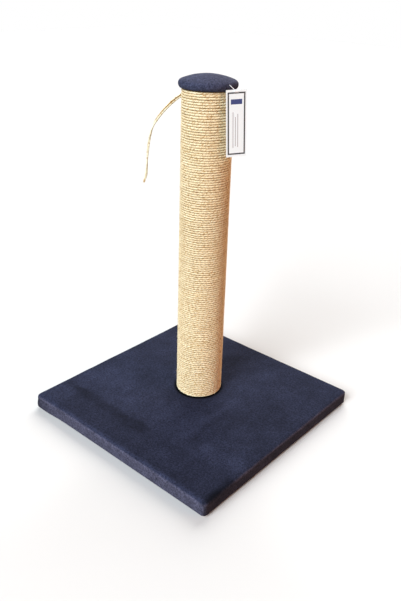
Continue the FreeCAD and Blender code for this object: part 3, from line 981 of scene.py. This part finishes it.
def ramp(value, *stops):
    made = value.id_data.nodes.new("ShaderNodeValToRGB")
    ends = made.color_ramp.elements
    while len(ends) < len(stops):
        ends.new(0.5)
    for end, (position, colour) in zip(ends, stops):
        end.position = position
        end.color = (*colour, 1.0)
    return fill(made, {"Fac": value})["Color"]


def mottled(value, first, second):
    """A colour that goes from the first to the second over the middle of a noise's range."""
    return ramp(value, (0.3, first), (0.7, second))


def mixed(share, first, second, mode="MIX"):
    return add_node("ShaderNodeMix", {0: share, 6: first, 7: second}, data_type="RGBA", blend_type=mode)[2]


def reckon(operation, *values):
    return add_node("ShaderNodeMath", dict(enumerate(values)), operation=operation)["Value"]


def times(first, second):
    return reckon("MULTIPLY", first, second)


def spread(value, low, high, start=0.0, end=1.0):
    """Maps a value's range onto another."""
    inputs = {"Value": value, "From Min": low, "From Max": high, "To Min": start, "To Max": end}
    return add_node("ShaderNodeMapRange", inputs)["Result"]


def shaded(colour, share):
    return tuple(part * share for part in colour)


def cover(shader, colour, grain, smoothest, roughest):
    """Gives a surface its colour, and a roughness that follows a noise."""
    fill(shader, {"Base Color": colour, "Roughness": spread(grain, 0.3, 0.7, smoothest, roughest)})


def bump(shader, height, strength, distance):
    inputs = {"Strength": strength, "Distance": distance, "Height": height}
    fill(shader, {"Normal": add_node("ShaderNodeBump", inputs)["Normal"]})


def foot_shade(tree):
    """Painted shade round the post's foot: nearly nought next to the post, and one further out."""
    place = separate(coordinates(tree))
    across = reckon("SUBTRACT", place["X"], post_axis.x)
    along = reckon("SUBTRACT", place["Y"], post_axis.y)
    radius = reckon("SQRT", reckon("ADD", times(across, across), times(along, along)))
    return spread(radius, foot_shade_start, foot_shade_end, foot_shade_least, 1.0)


def plush_material(name, upright_tone, level_tone, under_post=False):
    """Short navy pile, with one tone for faces that stand and one for level faces."""
    material, tree, shader = new_material(name)
    place = coordinates(tree)
    patches = noise(place, 45.0, 3.0, 0.8)
    streaks = noise(stretched(place, (1.0, 0.45, 1.0)), 75.0, 3.0, 0.4)
    pile = noise(place, 900.0, 2.0)
    tufts = noise(place, 330.0, 2.0)
    # Level and standing faces take their own tones; on the base the top is painted much darker than the
    # sides, as painted shade
    upright = mottled(patches, shaded(upright_tone, 0.88), shaded(upright_tone, 1.12))
    level_toned = mottled(patches, shaded(level_tone, 0.88), shaded(level_tone, 1.12))
    level = spread(separate(coordinates(tree, "Normal"))["Z"], 0.35, 0.93)
    streaked = spread(streaks, 0.3, 0.7, 0.90, 1.10)
    grain = spread(reckon("ADD", times(pile, 1.2), times(tufts, 0.8)), 0.7, 1.3, 0.36, 1.64)
    # The pile's lie with its painted light and shade, kept at the mesh's points
    lie_and_light = reckon("ADD", point_value(tree, "nap"), 1.0)
    shade = times(times(streaked, grain), lie_and_light)
    # Painted shade round the post's foot
    if under_post:
        shade = times(shade, foot_shade(tree))
    cover(shader, mixed(1.0, mixed(level, upright, level_toned), shade, "MULTIPLY"), pile, 0.86, 1.0)
    fill(shader, {"Specular IOR Level": 0.05, "Sheen Weight": 0.04, "Sheen Roughness": 0.45})
    fill(shader, {"Sheen Tint": (0.50, 0.52, 0.72, 1.0)})
    bump(shader, reckon("ADD", pile, times(tufts, 1.5)), 0.45, 0.5 * mm)
    return material


def sisal_material(name, dark, middle, pale):
    """Pale plant fibre: streaks along each strand, slow changes of tone, flecks and painted shade in the
    grooves.
    """
    material, tree, shader = new_material(name)
    fibres = strand_noise(tree, 85.0, 15.0, 4.0, 0.4)
    threads = strand_noise(tree, 230.0, 48.0, 2.0)
    tone = strand_noise(tree, 14.0, 1.2, 2.0)
    specks = strand_noise(tree, 380.0, 2.4, 1.0)
    depth = point_value(tree, "depth")
    full = (1.0, 1.0, 1.0)
    colour = ramp(fibres, (0.33, dark), (0.47, middle), (0.66, pale))
    toned = ramp(tone, (0.3, (0.86, 0.80, 0.70)), (0.6, full))
    flecked = ramp(specks, (0.33, (0.62, 0.46, 0.30)), (0.48, (0.96, 0.94, 0.90)), (0.60, full))
    # Painted shade where the twine is low, between strands and between turns
    groove_shade = ramp(depth, (0.03, (0.40, 0.22, 0.09)), (0.24, (0.86, 0.65, 0.42)), (0.52, full))
    for share, layer in ((0.75, toned), (1.0, flecked), (1.0, groove_shade)):
        colour = mixed(share, colour, layer, "MULTIPLY")
    cover(shader, colour, threads, 0.58, 0.82)
    fill(shader, {"Specular IOR Level": 0.10})
    bump(shader, reckon("ADD", fibres, threads), 0.8, 0.25 * mm)
    return material


def chipboard_material():
    material, tree, shader = new_material("chipboard")
    place = coordinates(tree)
    chips = cells(stretched(place, (1.0, 0.55, 1.0)), 260.0)
    dust = noise(place, 420.0, 3.0)
    tone = mottled(dust, (0.40, 0.26, 0.14), (0.62, 0.45, 0.27))
    cover(shader, mixed(0.28, tone, chips["Color"], "OVERLAY"), dust, 0.7, 0.95)
    bump(shader, chips["Distance"], 0.4, 0.3 * mm)
    return material


def foam_material():
    material, tree, shader = new_material("foam")
    pores = cells(coordinates(tree), 900.0)["Distance"]
    colour = ramp(pores, (0.0, (0.55, 0.52, 0.42)), (0.6, (0.76, 0.73, 0.62)))
    fill(shader, {"Base Color": colour, "Roughness": 0.95})
    bump(shader, pores, 0.5, 0.4 * mm)
    return material


def grained_material(name, tone, grain, colours, rough, relief, others):
    """A surface with one noise for its tone and one for its roughness and relief."""
    material, tree, shader = new_material(name)
    place = coordinates(tree)
    tones, grains = [noise(stretched(place, kind[0]), *kind[1:]) for kind in (tone, grain)]
    cover(shader, mottled(tones, *colours), grains, *rough)
    bump(shader, grains, *relief)
    fill(shader, others)
    return material


def metal_material(name, colour, dull):
    """Plated or drawn steel with a fine uneven finish."""
    colours = (shaded(colour, 0.8), colour)
    rough = (dull - 0.08, dull + 0.12)
    relief = (0.12, 0.05 * mm)
    return grained_material(name, metal_haze, metal_marks, colours, rough, relief, {"Metallic": 1.0})


def tag_place(tree):
    """The card's own coordinates: across from its middle, and up from its middle."""
    normal = Vector(direction(tag_face_angle, 0))
    across = Vector(direction(tag_face_angle + 90, 0))
    tilt = radians(tag_tilt)
    up = Vector((0, 0, 1)) * cos(tilt) - across * sin(tilt)
    across = across * cos(tilt) + Vector((0, 0, 1)) * sin(tilt)
    turn = Matrix((across, -normal, up)).transposed().to_euler()
    centre = Vector(tag_hole) - up * (tag_height / 2 - tag_hole_inset)
    inputs = {"Vector": coordinates(tree), "Location": centre, "Rotation": turn}
    place = separate(add_node("ShaderNodeMapping", inputs, vector_type="TEXTURE")["Vector"])
    return place["X"], place["Z"]


def within(value, middle, half):
    """One where a value lies within half of the middle, and nought elsewhere."""
    return reckon("LESS_THAN", reckon("ABSOLUTE", reckon("SUBTRACT", value, middle)), half)


def tag_material():
    """White coated card with a plain dark border line, one plain navy band and a few plain grey bars."""
    material, tree, shader = new_material("tag_card")
    across, up = tag_place(tree)

    def block(middle_across, half_across, middle_up, half_up):
        return times(within(across, middle_across, half_across), within(up, middle_up, half_up))

    wide = tag_width / 2 - tag_border_inset[0]
    tall = tag_height / 2 - tag_border_inset[1]
    inner = block(0.0, wide - tag_border_width, 0.0, tall - tag_border_width)
    border = reckon("SUBTRACT", block(0.0, wide, 0.0, tall), inner)
    bars = 0.0
    for place, half_length, middle in tag_bars:
        bars = reckon("ADD", bars, block(place, tag_bar_half, middle, half_length))
    band = block(0.0, tag_band_half[0], tag_band_middle, tag_band_half[1])
    fibre = noise(coordinates(tree), 700.0, 3.0)
    colour = mottled(fibre, (0.86, 0.955, 0.985), (0.88, 0.97, 1.0))
    colour = mixed(bars, colour, (0.46, 0.47, 0.50, 1.0))
    colour = mixed(band, colour, (0.030, 0.048, 0.170, 1.0))
    colour = mixed(border, colour, (0.030, 0.031, 0.036, 1.0))
    cover(shader, colour, fibre, 0.38, 0.55)
    bump(shader, fibre, 0.12, 0.05 * mm)
    return material


def dress_nodes(by_slot):
    """Gives every solid of the frame the material of its slot."""
    for part in frame["record"]["subparts"]:
        node = frame["nodes"][part["node"]]
        for slot in node.material_slots:
            slot.link = "OBJECT"
            slot.material = by_slot[part["material_slot"]]


def seen_ray(tree):
    """One for the rays by which the camera sees a surface, straight, mirrored or through glass."""
    path = tree.nodes.new("ShaderNodeLightPath").outputs
    seen = reckon("MAXIMUM", path["Is Camera Ray"], path["Is Glossy Ray"])
    return reckon("MAXIMUM", seen, path["Is Transmission Ray"])


def make_floor():
    mesh = bpy.data.meshes.new("floor")
    corners = [(a * floor_half, b * floor_half, 0) for a, b in ((-1, -1), (1, -1), (1, 1), (-1, 1))]
    mesh.from_pydata(corners, [], [(0, 1, 2, 3)])
    floor = add_object("floor", mesh)
    material, tree, shader = new_material("floor_paper")
    colour = mixed(seen_ray(tree), floor_bounce, floor_seen)
    fill(shader, {"Base Color": colour, "Roughness": 1.0, "Specular IOR Level": 0.0})
    mesh.materials.append(material)


def make_sun(name, azimuth, elevation, strength, angle, colour):
    """A broad soft light from a compass direction."""
    data = bpy.data.lights.new(name, "SUN")
    data.energy = strength
    data.angle = radians(angle)
    data.color = colour
    light = add_object(name, data)
    light.rotation_mode = "QUATERNION"
    light.rotation_quaternion = Vector(direction(azimuth, elevation)).to_track_quat("Z", "Y")


def make_light():
    for sun in suns:
        make_sun(*sun)
    world = bpy.data.worlds.new("studio")
    bpy.context.scene.world = world
    world.use_nodes = True
    tree = world.node_tree
    strength = spread(seen_ray(tree), 0.0, 1.0, world_strength, 1.0)
    fill(tree.nodes["Background"], {"Color": (1.0, 1.0, 1.0, 1.0), "Strength": strength})
    bpy.context.scene.view_settings.view_transform = "Standard"


make_camera()
make_tail(sisal_material("sisal_loose", (0.92, 0.84, 0.60), (0.97, 0.95, 0.74), (0.98, 1.0, 0.86)))
sisal = sisal_material("sisal_fibre", (0.65, 0.45, 0.22), (0.99, 0.89, 0.61), (1.0, 0.96, 0.75))
make_winding(sisal)
# The base's level faces are painted about four times darker than its sides: painted shade on the top
# against lighter painted sides
base_pile = plush_material("base_plush", (0.070, 0.070, 0.108), (0.0185, 0.0219, 0.0422), under_post=True)
make_base_cover(base_pile)
make_cap(plush_material("cap_plush", (0.045, 0.051, 0.089), (0.051, 0.056, 0.095)))
materials = {
    "plush": plush_material("inner_plush", (0.046, 0.048, 0.082), (0.048, 0.051, 0.086)),
    "chipboard": chipboard_material(),
    "sisal": sisal,
    "steel_wire": metal_material("steel_wire", (0.60, 0.60, 0.62), 0.35),
    "zinc_steel": metal_material("zinc_steel", (0.70, 0.70, 0.71), 0.30),
    "foam": foam_material(),
    "tag_paper": tag_material(),
}
for name, surface in grained_surfaces.items():
    materials[name] = grained_material(name, *surface)
dress_nodes(materials)
make_floor()
make_light()
